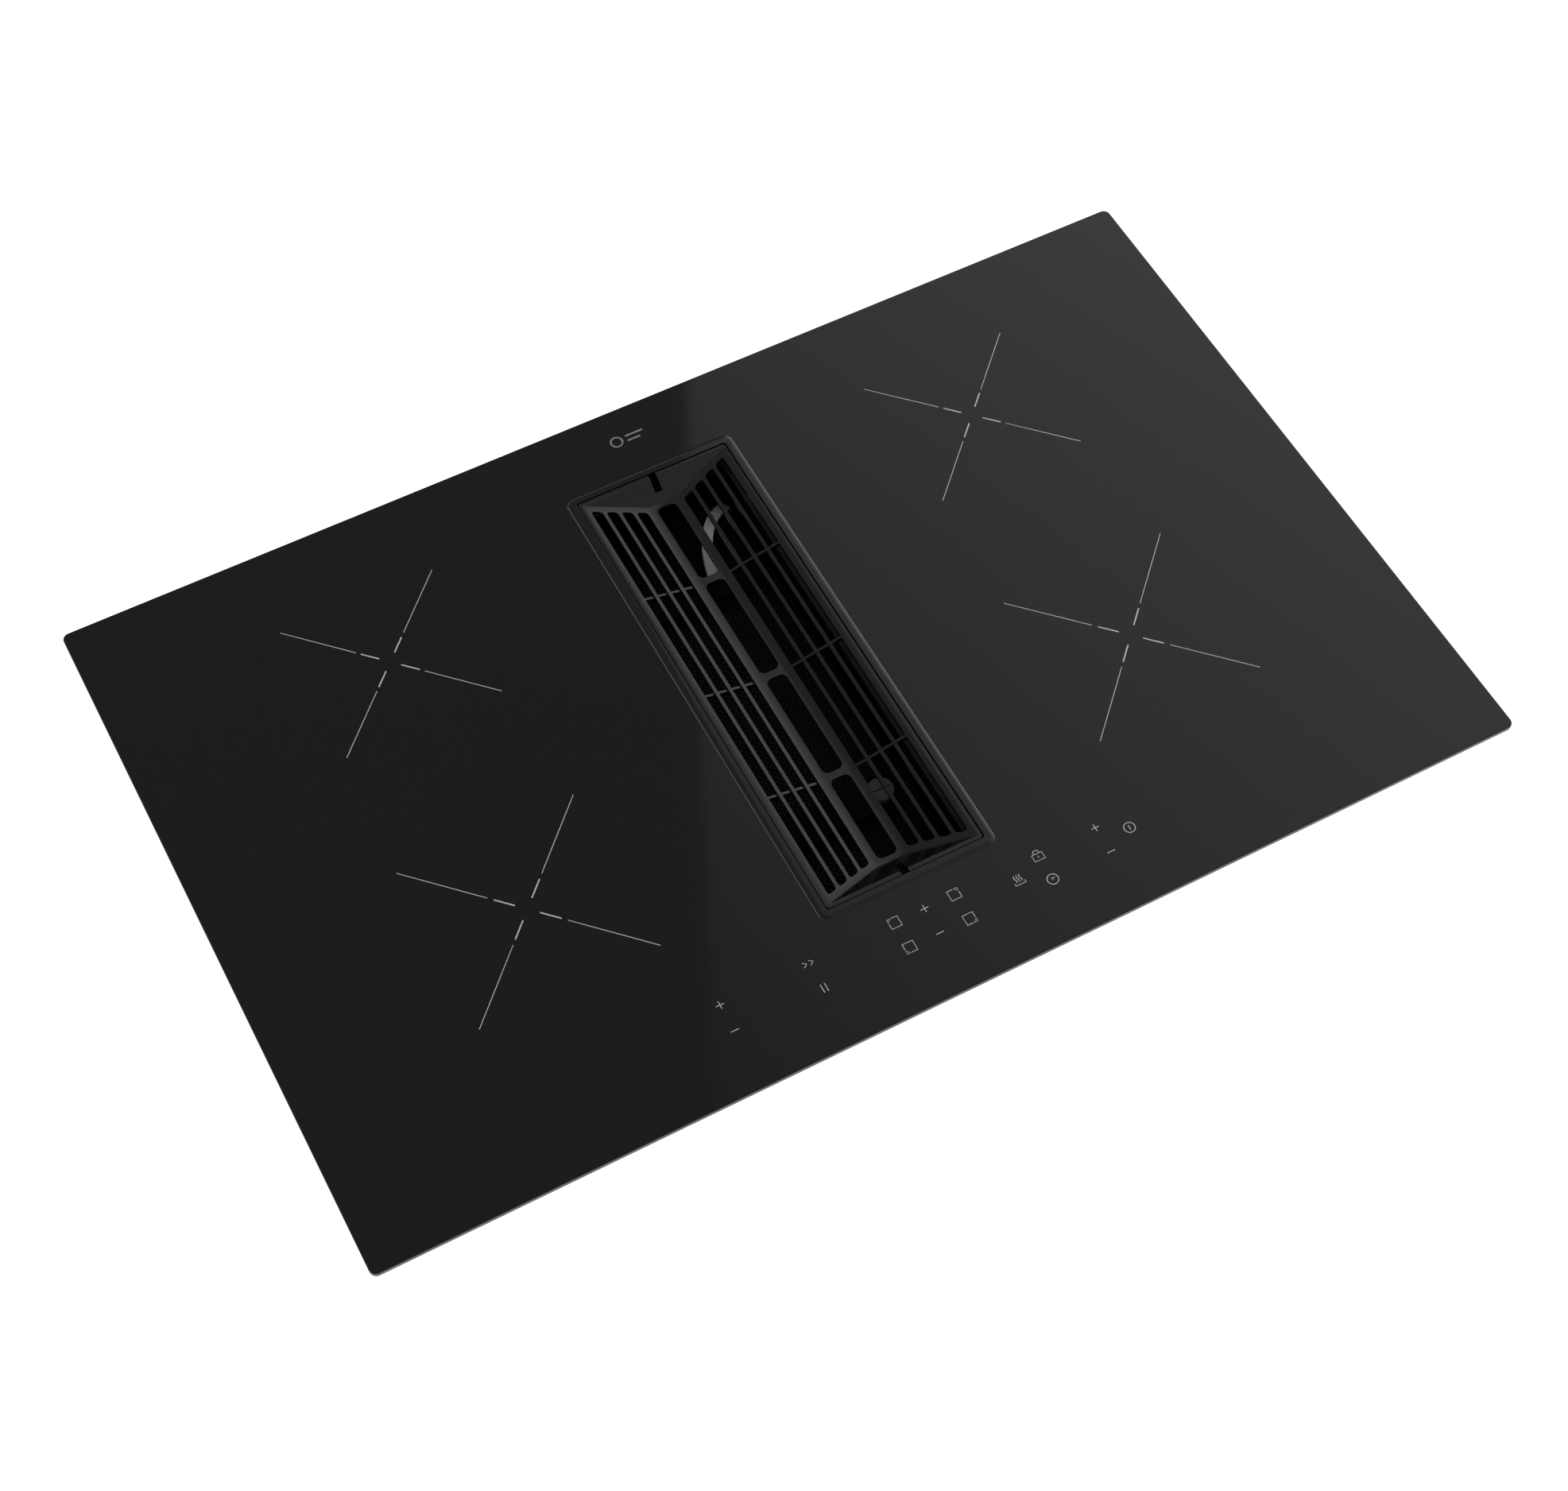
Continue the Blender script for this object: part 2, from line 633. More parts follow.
def make_bezel():
    """Raised rim round the opening, with a skirt through the glass."""
    top = BEZEL_RISE
    sections = [
        (bezel_outline(0), GAP),
        *((bezel_outline(inset), top * share) for inset, share in BEZEL_CROWN),
        (bezel_outline(BEZEL_BORDER), top),
        (bezel_outline(BEZEL_BORDER), -BEZEL_DROP),
        (bezel_outline(BEZEL_SKIRT), -BEZEL_DROP),
        (bezel_outline(BEZEL_SKIRT), GAP),
    ]
    mesh = loft("grille_bezel", sections, closed=True)
    piece(add("grille_bezel", mesh, (0, 0, GLASS_TOP)), "black_cast")


# ---------------------------------------------------------------- grille

class Trough:
    """Plan sizes of the grille's V-shaped trough, from the grille's middle."""

    rim_x = BEZEL_HALF_X - BEZEL_BORDER - GROOVE
    rim_y = BEZEL_HALF_Y - BEZEL_BORDER - GROOVE
    edge_x = rim_x - RIM_WIDTH
    edge_y = rim_y - RIM_WIDTH
    valley_x = VALLEY_WIDTH / 2
    valley_y = edge_y - GABLE_RUN
    slope_run = edge_x - valley_x

    @classmethod
    def slope_end(cls, x):
        """Where the mitre between slope and gable lies, at a distance x from the middle."""
        return cls.valley_y + (x - cls.valley_x) * GABLE_RUN / cls.slope_run

    @classmethod
    def surface(cls, x):
        """Level of the slope's surface below the rim, at a distance x from the middle."""
        return -VALLEY_DEPTH * (cls.edge_x - x) / cls.slope_run


def rectangle(half_x, half_y):
    """Corner points of a rectangle, anticlockwise."""
    return [(half_x, half_y), (-half_x, half_y), (-half_x, -half_y), (half_x, -half_y)]


def trough_body():
    """The trough before its slots are cut, its rim's top at level 0."""
    under = BOX_TOP + GAP - GLASS_TOP - RIM_HEIGHT
    edge = rectangle(Trough.edge_x, Trough.edge_y)
    valley = rectangle(Trough.valley_x, Trough.valley_y)
    sections = [
        (valley, -VALLEY_DEPTH - GRILLE_WALL),
        (edge, -GRILLE_WALL),
        (edge, under),
        (rectangle(Trough.rim_x, Trough.rim_y), under),
        (rectangle(Trough.rim_x, Trough.rim_y), 0),
        (edge, 0),
        (valley, -VALLEY_DEPTH),
    ]
    mesh = loft("air_grille", sections)
    bm = bmesh.new()
    bm.from_mesh(mesh)
    corners = [edge for edge in bm.edges
               if all(abs(abs(vert.co.x) - Trough.rim_x) < GAP for vert in edge.verts)
               and all(abs(abs(vert.co.y) - Trough.rim_y) < GAP for vert in edge.verts)
               and abs(edge.verts[0].co.z - edge.verts[1].co.z) > GAP]
    bmesh.ops.bevel(bm, geom=corners, offset=RIM_CORNER, segments=3, profile=0.5,
                    affect="EDGES", clamp_overlap=True)
    bm.to_mesh(mesh)
    bm.free()
    return mesh


def slope_slots():
    """Outlines of the long slots in both slopes."""
    bars = (SLOPE_SLOTS - 1) * SLOPE_BAR
    width = (Trough.slope_run - 2 * SLOPE_MARGIN - bars) / SLOPE_SLOTS
    outlines = []
    for side in (-1, 1):
        for index in range(SLOPE_SLOTS):
            near = Trough.valley_x + SLOPE_MARGIN + index * (width + SLOPE_BAR)
            far = near + width
            near_end = Trough.slope_end(near) - SLOT_END_MARGIN
            far_end = Trough.slope_end(far) - SLOT_END_MARGIN
            corners = [(near, -near_end), (far, -far_end), (far, far_end), (near, near_end)]
            corners = [(side * x, y) for x, y in corners]
            outlines.append(rounded_polygon(corners, SLOT_CORNER))
    return outlines


def rib_places():
    """Distance of each cross rib from the grille's middle."""
    return [(index - (RIB_COUNT - 1) / 2) * RIB_PITCH for index in range(RIB_COUNT)]


def valley_slots():
    """Outlines of the wide slots in the valley floor, between its bars."""
    end = Trough.valley_y - VALLEY_END_MARGIN
    stops = [-end - VALLEY_BAR / 2, *rib_places(), end + VALLEY_BAR / 2]
    outlines = []
    for low, high in zip(stops, stops[1:]):
        half = (high - low - VALLEY_BAR) / 2
        slot = rounded_rectangle(VALLEY_SLOT_WIDTH / 2, half, VALLEY_SLOT_CORNER,
                                 (low + high) / 2)
        outlines.append(slot)
    return outlines


def slope_ribs():
    """Cross ribs under the bars of both slopes."""
    bm = bmesh.new()
    inner = Trough.valley_x + SLOPE_MARGIN / 2
    outer = Trough.edge_x - SLOPE_MARGIN / 2
    for side in (-1, 1):
        for place in rib_places():
            for vert in add_box(bm, (inner, place - RIB_WIDTH / 2, -RIB_HEIGHT),
                                (outer, place + RIB_WIDTH / 2, 0)):
                vert.co.z += Trough.surface(vert.co.x) - RIB_DROP
                vert.co.x *= side
    return mesh_from(bm, "grille_ribs")


def make_grille():
    """Lift-out grille: slotted V-shaped trough with cross ribs."""
    level = GLASS_TOP + RIM_HEIGHT
    grille = piece(add("air_grille", trough_body(), (0, OPENING_Y, level)), "black_cast")
    deep = VALLEY_DEPTH + GRILLE_WALL + CUT_MARGIN
    slots = flat_solid("grille_slots", slope_slots() + valley_slots(), -deep, CUT_MARGIN)
    cut(grille, add("grille_slots", slots))
    fuse(grille, add("grille_ribs", slope_ribs()))
    notch_far = Trough.rim_y + CUT_MARGIN
    notch_near = Trough.edge_y - NOTCH_RUN
    floor = -VALLEY_DEPTH * NOTCH_RUN / GABLE_RUN - NOTCH_DEPTH
    notches = boxes("grille_notches", [
        ((-NOTCH_WIDTH / 2, notch_near, floor), (NOTCH_WIDTH / 2, notch_far, CUT_MARGIN)),
        ((-NOTCH_WIDTH / 2, -notch_far, floor), (NOTCH_WIDTH / 2, -notch_near, CUT_MARGIN))])
    cut(grille, add("grille_notches", notches))


# ---------------------------------------------------------------- filter cassette

def filter_outline(inset):
    """The cassette's outline, moved inwards."""
    corner = max(FILTER_CORNER - inset, MM)
    return rounded_rectangle(FILTER_HALF_X - inset, FILTER_HALF_Y - inset, corner)


def make_filter(cassette):
    """Frame with two crossbars, the mesh in it, its handle and its turn-lock knob."""
    high = FILTER_HEIGHT
    sections = [
        (filter_outline(0), 0),
        (filter_outline(0), high),
        (filter_outline(FILTER_LIP), high),
        (filter_outline(FILTER_LIP), high - FILTER_WALL),
        (filter_outline(FILTER_WALL), high - FILTER_WALL),
        (filter_outline(FILTER_WALL), FILTER_WALL),
        (filter_outline(FILTER_LIP), FILTER_WALL),
        (filter_outline(FILTER_LIP), 0),
    ]
    frame = add("filter_frame", loft("filter_frame", sections, closed=True))
    piece(frame, "dark_plastic", cassette)
    reach = FILTER_HALF_X - FILTER_LIP / 2
    handle_y = FILTER_HALF_Y + HANDLE_START[1]
    knob_y = KNOB_Y - OPENING_Y
    bars = [((-reach, middle - CROSSBAR_WIDTH / 2, high - FILTER_WALL + CROSSBAR_SKIN),
             (reach, middle + CROSSBAR_WIDTH / 2, high - CROSSBAR_SKIN))
            for middle in (knob_y, handle_y)]
    fuse(frame, add("filter_crossbars", boxes("filter_crossbars", bars)))
    hole = cylinder("knob_hole", KNOB_STEM_RADIUS + GAP, high - 2 * FILTER_WALL,
                    high + FILTER_WALL)
    cut(frame, add("knob_hole", hole, (KNOB_X, knob_y, 0)))

    mesh_low = FILTER_WALL + GAP
    packing = rounded_rectangle(FILTER_HALF_X - FILTER_WALL - GAP,
                                FILTER_HALF_Y - FILTER_WALL - GAP, MM)
    slab = flat_solid("filter_mesh", [packing], mesh_low, mesh_low + MESH_THICKNESS)
    piece(add("filter_mesh", slab), "steel_mesh", cassette)
    make_handle(cassette)
    make_knob(cassette, knob_y)


def handle_path():
    """Middle line of the handle: a flat arch that turns towards the side as it rises."""
    start, elbow, end = (Vector((x, FILTER_HALF_Y + y))
                         for x, y in (HANDLE_START, HANDLE_ELBOW, HANDLE_END))
    lift = FILTER_HEIGHT + GAP + HANDLE_THICKNESS / 2
    points = []
    for step in range(HANDLE_STEPS + 1):
        along = step / HANDLE_STEPS
        place = (start * (1 - along) ** 2 + elbow * 2 * along * (1 - along)
                 + end * along ** 2)
        rise = HANDLE_RISE * math.sin(math.pi * along) ** HANDLE_ROUNDNESS
        points.append(Vector((place.x, place.y, lift + rise)))
    return points


def make_handle(cassette):
    """Light strap that the cassette is lifted by."""
    points = handle_path()
    bm = bmesh.new()
    edges = []
    for index, point in enumerate(points):
        ahead = points[min(index + 1, HANDLE_STEPS)] - points[max(index - 1, 0)]
        across = Vector((ahead.y, -ahead.x, 0)).normalized() * HANDLE_WIDTH / 2
        edges.append((bm.verts.new(point - across), bm.verts.new(point + across)))
    for near, far in zip(edges, edges[1:]):
        bm.faces.new((near[0], near[1], far[1], far[0]))
    handle = add("filter_handle", mesh_from(bm, "filter_handle"))
    solidify(handle, HANDLE_THICKNESS)
    piece(handle, "light_plastic", cassette)


def make_knob(cassette, knob_y):
    """Quarter-turn knob with a screwdriver slot."""
    top = KNOB_HEIGHT
    stem = -FILTER_WALL - KNOB_STEM_REACH
    profile = [(0, top), (KNOB_RADIUS - KNOB_EDGE, top), (KNOB_RADIUS, top - KNOB_EDGE),
               (KNOB_RADIUS, 0), (KNOB_STEM_RADIUS, 0), (KNOB_STEM_RADIUS, stem), (0, stem)]
    knob = lathe("filter_knob", profile, ROUND_STEPS)
    knob.location = (KNOB_X, knob_y, FILTER_HEIGHT + GAP)
    piece(knob, "light_plastic", cassette)
    reach = KNOB_SLOT_LENGTH / 2
    slot = boxes("knob_slot", [((-reach, -KNOB_SLOT_WIDTH / 2, top - KNOB_SLOT_DEPTH),
                                (reach, KNOB_SLOT_WIDTH / 2, top + CUT_MARGIN))])
    cut(knob, add("knob_slot", slot))


# ---------------------------------------------------------------- air box and tank

def box_outline(inset):
    """The air box's outline, moved inwards."""
    return rounded_rectangle(BOX_HALF_X - inset, BOX_HALF_Y - inset,
                             max(BOX_CORNER - inset, MM))


def tank_place():
    """Front and back of the tank, from the air box's middle."""
    front = -BOX_HALF_Y + TANK_FRONT_INSET
    return front, FAN_Y - OPENING_Y - SCROLL_FRONT - TANK_CLEARANCE


def make_air_box():
    """Duct from the grille down to the fan, with the cassette's shelf inside."""
    height = BOX_TOP - BOX_BOTTOM
    shelf = SHELF_TOP - BOX_BOTTOM
    sections = [
        (box_outline(0), 0),
        (box_outline(0), height),
        (box_outline(BOX_WALL), height),
        (box_outline(BOX_WALL), shelf),
        (box_outline(BOX_WALL + SHELF_REACH), shelf),
        (box_outline(BOX_WALL + SHELF_REACH), shelf - BOX_WALL),
        (box_outline(BOX_WALL), shelf - BOX_WALL),
        (box_outline(BOX_WALL), BOX_WALL),
    ]
    box = add("air_box", loft("air_box", sections), (0, OPENING_Y, BOX_BOTTOM))
    piece(box, "dark_plastic")
    front, back = tank_place()
    drain = flat_solid("box_holes", [circle(INLET_RADIUS + INLET_WALL + GAP,
                                            (0, FAN_Y - OPENING_Y), FAN_STEPS),
                                     circle(DRAIN_RADIUS, (0, (front + back) / 2),
                                            SMALL_STEPS)],
                       -CUT_MARGIN, BOX_WALL + CUT_MARGIN)
    cut(box, add("box_holes", drain))
    fuse(box, add("tank_rails", tank_rails(front, back)))


def make_seat():
    """Flat frame in the top of the air box, which the grille rests on."""
    inset = BEZEL_BORDER + SEAT_REACH
    inner = rounded_rectangle(BEZEL_HALF_X - inset, BEZEL_HALF_Y - inset, SEAT_CORNER)
    seat = flat_solid("grille_seat", [box_outline(BOX_WALL + GAP), inner],
                      BOX_TOP - SEAT_DROP - SEAT_THICKNESS, BOX_TOP - SEAT_DROP)
    piece(add("grille_seat", seat, (0, OPENING_Y, 0)), "foam")


def tank_rails(front, back):
    """Two L-shaped rails under the air box, which carry the tank by its lips."""
    bm = bmesh.new()
    web = TANK_WIDTH / 2 + TANK_LIP + RAIL_CLEARANCE
    foot = TANK_WIDTH / 2 + RAIL_CLEARANCE
    low = -TANK_WALL - 2 * GAP - RAIL_WALL
    for side in (-1, 1):
        outline = [(foot, low), (web + RAIL_WALL, low), (web + RAIL_WALL, BOX_WALL / 2),
                   (web, BOX_WALL / 2), (web, low + RAIL_WALL), (foot, low + RAIL_WALL)]
        ring = [bm.verts.new((side * x, front, z)) for x, z in outline]
        face = bm.faces.new(ring)
        swept = bmesh.ops.extrude_face_region(bm, geom=[face])["geom"]
        verts = [item for item in swept if isinstance(item, bmesh.types.BMVert)]
        bmesh.ops.translate(bm, verts=verts, vec=(0, back - front, 0))
    return mesh_from(bm, "tank_rails")


def make_tank():
    """Open tank that catches spilt liquid, hung in the rails by its lips."""
    front, back = tank_place()
    half_x = TANK_WIDTH / 2
    half_y = (back - front) / 2

    def outline(inset):
        return rounded_rectangle(half_x - inset, half_y - max(inset, 0),
                                 max(TANK_CORNER - inset, MM))

    top = -GAP
    sections = [
        (outline(0), top - TANK_HEIGHT),
        (outline(0), top - TANK_WALL),
        (outline(-TANK_LIP), top - TANK_WALL),
        (outline(-TANK_LIP), top),
        (outline(TANK_WALL), top),
        (outline(TANK_WALL), top - TANK_HEIGHT + TANK_WALL),
    ]
    middle = OPENING_Y + (front + back) / 2
    tank = add("liquid_tank", loft("liquid_tank", sections), (0, middle, BOX_BOTTOM))
    piece(tank, "dark_plastic")


# ---------------------------------------------------------------- fan

def scroll_outline(inset, back):
    """Plan of the fan housing round its axis: a spiral that opens into the outlet."""
    half_outlet = COLLAR_WIDTH / 2 + SCROLL_WALL
    points = []
    for step in range(SPIRAL_STEPS + 1):
        degrees = TONGUE_ANGLE + (END_ANGLE - TONGUE_ANGLE) * step / SPIRAL_STEPS
        radius = SCROLL_START_RADIUS + SPIRAL_SLOPE * (degrees - TONGUE_ANGLE) - inset
        points.append((radius * math.cos(math.radians(degrees)),
                       radius * math.sin(math.radians(degrees))))
    points.append((half_outlet - inset, back))
    points.append((-half_outlet + inset, back))
    return points


def make_scroll(fan):
    """Fan housing: floor and spiral wall, and the cover over it."""
    wall_top = SCROLL_HEIGHT - SCROLL_WALL - GAP
    outer = flat_solid("fan_scroll", [scroll_outline(0, OUTLET_RUN)], 0, wall_top)
    scroll = piece(add("fan_scroll", outer), "dark_plastic", fan)
    inner = flat_solid("scroll_hollow", [scroll_outline(SCROLL_WALL, OUTLET_RUN + CUT_MARGIN)],
                       SCROLL_FLOOR, SCROLL_HEIGHT)
    cut(scroll, add("scroll_hollow", inner))
    eye = circle(INLET_RADIUS + INLET_WALL + GAP, steps=FAN_STEPS)
    cover = flat_solid("fan_cover", [scroll_outline(0, OUTLET_RUN), eye],
                       SCROLL_HEIGHT - SCROLL_WALL, SCROLL_HEIGHT)
    piece(add("fan_cover", cover), "dark_plastic", fan)


def make_inlet(fan):
    """Bell-mouthed ring that leads the air into the impeller's eye."""
    seat = BOX_BOTTOM + BOX_WALL + GAP
    outer = INLET_RADIUS + INLET_WALL
    flange = outer + INLET_FLANGE
    profile = [(INLET_RADIUS + INLET_FLARE, seat + INLET_LIP),
               (outer + INLET_FLARE, seat + INLET_LIP),
               (flange, seat + INLET_WALL), (flange, seat), (outer, seat),
               (outer, seat - INLET_DEPTH), (INLET_RADIUS, seat - INLET_DEPTH),
               (INLET_RADIUS, seat)]
    piece(lathe("inlet_ring", profile, FAN_STEPS, closed=True), "dark_plastic", fan)


def make_impeller(fan):
    """Drum impeller over the motor: hub cup, back plate, blades and front ring."""
    low = SCROLL_FLOOR + IMPELLER_FLOOR_CLEARANCE
    ring_top = SCROLL_HEIGHT - SCROLL_WALL - IMPELLER_TOP_CLEARANCE
    ring_low = ring_top - IMPELLER_RING
    cup = MOTOR_RADIUS + MOTOR_CLEARANCE
    bore = SHAFT_RADIUS + GAP
    profile = [(bore, CUP_TOP), (cup + IMPELLER_PLATE, CUP_TOP),
               (cup + IMPELLER_PLATE, low + IMPELLER_PLATE),
               (IMPELLER_RADIUS, low + IMPELLER_PLATE), (IMPELLER_RADIUS, low), (cup, low),
               (cup, CUP_TOP - IMPELLER_PLATE), (bore, CUP_TOP - IMPELLER_PLATE)]
    impeller = lathe("impeller", profile, FAN_STEPS, closed=True)
    piece(impeller, "light_plastic", fan)

    bm = bmesh.new()
    outer = IMPELLER_RADIUS - BLADE_INSET
    for index in range(BLADE_COUNT):
        blade = add_box(bm, (-BLADE_DEPTH, -BLADE_THICKNESS / 2, low + IMPELLER_PLATE / 2),
                        (0, BLADE_THICKNESS / 2, ring_low + IMPELLER_RING / 2))
        place = (Matrix.Rotation(2 * math.pi * index / BLADE_COUNT, 4, "Z")
                 @ Matrix.Translation((outer, 0, 0))
                 @ Matrix.Rotation(math.radians(BLADE_TURN), 4, "Z"))
        bmesh.ops.transform(bm, matrix=place, verts=blade)
    fuse(impeller, add("impeller_blades", mesh_from(bm, "impeller_blades")))
    ring_inner = IMPELLER_RADIUS - IMPELLER_RING_WIDTH
    ring = lathe("impeller_ring", [(ring_inner, ring_top), (IMPELLER_RADIUS, ring_top),
                                   (IMPELLER_RADIUS, ring_low), (ring_inner, ring_low)],
                 FAN_STEPS, closed=True)
    fuse(impeller, ring)

    shaft = cylinder("motor_shaft", SHAFT_RADIUS, SHAFT_LOW, SHAFT_TOP, ROUND_STEPS)
    piece(add("motor_shaft", shaft), "steel", fan)


def make_motor(fan):
    """Motor on the housing's floor, under the impeller's cup."""
    bore_floor = SHAFT_LOW - SHAFT_CLEARANCE
    bore = SHAFT_RADIUS + GAP
    profile = [(0, bore_floor), (bore, bore_floor), (bore, MOTOR_TOP),
               (MOTOR_RADIUS - MOTOR_SHOULDER, MOTOR_TOP),
               (MOTOR_RADIUS, MOTOR_TOP - MOTOR_CHAMFER), (MOTOR_RADIUS, MOTOR_LOW),
               (0, MOTOR_LOW)]
    piece(lathe("fan_motor", profile, ROUND_STEPS), "zinc_steel", fan)


# ---------------------------------------------------------------- outlet

def collar_outline(outset):
    """The collar's outline, moved outwards."""
    return rounded_rectangle(COLLAR_WIDTH / 2 + outset, COLLAR_HEIGHT / 2 + outset,
                             max(COLLAR_CORNER + outset, MM))


def make_collar():
    """Outlet collar, which a flat duct slides over, with its flap on a pin."""
    outlet = anchor("outlet", (0, OUTLET_END - COLLAR_LENGTH, SCROLL_HEIGHT / 2))
    sections = [
        (collar_outline(0), COLLAR_LENGTH),
        (collar_outline(-COLLAR_WALL), COLLAR_LENGTH),
        (collar_outline(-COLLAR_WALL), GAP),
        (collar_outline(COLLAR_FLANGE), GAP),
        (collar_outline(COLLAR_FLANGE), GAP + COLLAR_FLANGE),
        (collar_outline(0), GAP + COLLAR_FLANGE),
    ]
    quarter = math.pi / 2
    mesh = loft("outlet_collar", sections, closed=True)
    collar = add("outlet_collar", mesh, rotation=(-quarter, 0, 0))
    piece(collar, "dark_plastic", outlet)
    reach = COLLAR_WIDTH / 2 + COLLAR_FLANGE
    pin_level = COLLAR_HEIGHT / 2 - COLLAR_WALL - FLAP_PIN_DROP
    pin_y = COLLAR_LENGTH - FLAP_PIN_FROM_END
    hole = cylinder("pin_hole", FLAP_PIN_RADIUS + GAP, -reach, reach)
    cut(collar, add("pin_hole", hole, (0, -pin_level, pin_y), (0, quarter, 0)))

    pin_half = COLLAR_WIDTH / 2
    pin = cylinder("flap_pin", FLAP_PIN_RADIUS, -pin_half, pin_half)
    hinge = (0, pin_y, pin_level)
    piece(add("flap_pin", pin, hinge, (0, quarter, 0)), "steel", outlet)

    half = COLLAR_WIDTH / 2 - COLLAR_WALL - FLAP_CLEARANCE
    drop = pin_level + COLLAR_HEIGHT / 2 - COLLAR_WALL - FLAP_CLEARANCE
    blade = boxes("return_flap", [((-half, -FLAP_THICKNESS / 2, -drop),
                                   (half, FLAP_THICKNESS / 2, 0))])
    flap = piece(add("return_flap", blade, hinge), "dark_plastic", outlet)
    sleeve = cylinder("flap_sleeve", FLAP_SLEEVE_RADIUS, -half, half)
    fuse(flap, add("flap_sleeve", sleeve, rotation=(0, quarter, 0)))
    bore = cylinder("flap_bore", FLAP_PIN_RADIUS + GAP, -half - CUT_MARGIN,
                    half + CUT_MARGIN)
    cut(flap, add("flap_bore", bore, rotation=(0, quarter, 0)))


# ---------------------------------------------------------------- tray and zones

def tray_outline(inset_x, inset_y, corner):
    """The tray's outline at its wall's top, moved inwards."""
    return rounded_rectangle(TRAY_HALF_X - inset_x, TRAY_HALF_Y - inset_y, corner)


def cooler_place(side):
    """Middle of a bay's cooling fan."""
    reach = BOX_HALF_X + BAY_CLEARANCE + COOLER_SIZE / 2
    return side * reach, PLATE_HALF_Y - COOLER_FROM_BACK


def terminal_place():
    """Middle of the terminal block."""
    return (-BAY_HALF_X + TERMINAL_WALL_GAP + TERMINAL_SIZE[0] / 2,
            PLATE_HALF_Y - TERMINAL_FROM_BACK)


def wall_at(depth, half, draft):
    """Half size of the tray's outside at a depth below the underside of the glass."""
    run = TRAY_TOP - TRAY_WALL - TRAY_FLOOR
    return half - draft * (depth - GAP - TRAY_WALL) / run


def make_tray():
    """Tray with sloping walls, a lip under the glass and the air box's opening."""
    opening = rounded_rectangle(BOX_HALF_X + TRAY_OPENING_CLEARANCE,
                                BOX_HALF_Y + TRAY_OPENING_CLEARANCE, BOX_CORNER, OPENING_Y)
    lip = -TRAY_LIP
    sections = [
        (opening, TRAY_FLOOR),
        (tray_outline(TRAY_DRAFT_X, TRAY_DRAFT_Y, TRAY_CORNER), TRAY_FLOOR),
        (tray_outline(0, 0, TRAY_CORNER), TRAY_TOP - TRAY_WALL),
        (tray_outline(lip, lip, TRAY_CORNER - lip), TRAY_TOP - TRAY_WALL),
        (tray_outline(lip, lip, TRAY_CORNER - lip), TRAY_TOP),
        (tray_outline(TRAY_WALL, TRAY_WALL, TRAY_CORNER - TRAY_WALL), TRAY_TOP),
        (tray_outline(TRAY_DRAFT_X + TRAY_WALL, TRAY_DRAFT_Y + TRAY_WALL,
                      TRAY_CORNER - TRAY_WALL), TRAY_INSIDE),
        (opening, TRAY_INSIDE),
    ]
    tray = piece(add("base_tray", loft("base_tray", sections, closed=True)), "zinc_steel")

    outlines = []
    for side in SIDES.values():
        for index in range(VENT_COUNT):
            shift = (index - (VENT_COUNT - 1) / 2) * VENT_PITCH
            vent = rectangle(VENT_LENGTH / 2, VENT_WIDTH / 2)
            x, y = cooler_place(side)
            outlines.append(moved(vent, (x, y + shift)))
    outlines.append(moved(rectangle(TERMINAL_SIZE[0] / 2, TERMINAL_SIZE[1] / 2),
                          terminal_place()))
    vents = flat_solid("tray_openings", outlines, TRAY_FLOOR - CUT_MARGIN,
                       TRAY_INSIDE + TRAY_WALL)
    cut(tray, add("tray_openings", vents))

    reach = TRAY_HALF_X + CUT_MARGIN
    for label, place in (("front", -CLIP_SPREAD), ("rear", CLIP_SPREAD)):
        name = "screw_holes_" + label
        hole = cylinder(name, SCREW_RADIUS + GAP, -reach, reach)
        cut(tray, add(name, hole, (0, place, BODY_HEIGHT - SCREW_DEPTH),
                      (0, math.pi / 2, 0)))
    reach = TRAY_DRAFT_Y + CUT_MARGIN
    back = cylinder("gland_hole", GLAND_RADIUS + GAP, -reach, reach, ROUND_STEPS)
    cut(tray, add("gland_hole", back, (terminal_place()[0], TRAY_HALF_Y,
                                       BODY_HEIGHT - GLAND_DEPTH), (math.pi / 2, 0, 0)))


def make_coil_shelf(label, side):
    """Aluminium shelf across a bay, folded down to the tray's floor at both ends."""
    inner = BOX_HALF_X + SHELF_SIDE_CLEARANCE
    outer = BAY_HALF_X - SHELF_SIDE_CLEARANCE
    front = -BAY_HALF_Y + SHELF_FRONT_CLEARANCE
    back = BAY_HALF_Y - SHELF_BACK_CLEARANCE
    top = COIL_SHELF_TOP - SHELF_THICKNESS / 2
    foot = TRAY_INSIDE + GAP
    fold = [(front, foot), (front, top), (back, top), (back, foot)]
    shelf = folded_sheet("coil_shelf_" + label, fold, outer - inner, SHELF_THICKNESS)
    shelf.location = (side * (inner + outer) / 2, 0, 0)
    shelf.rotation_euler = (0, 0, math.pi / 2)
    piece(shelf, "aluminium")


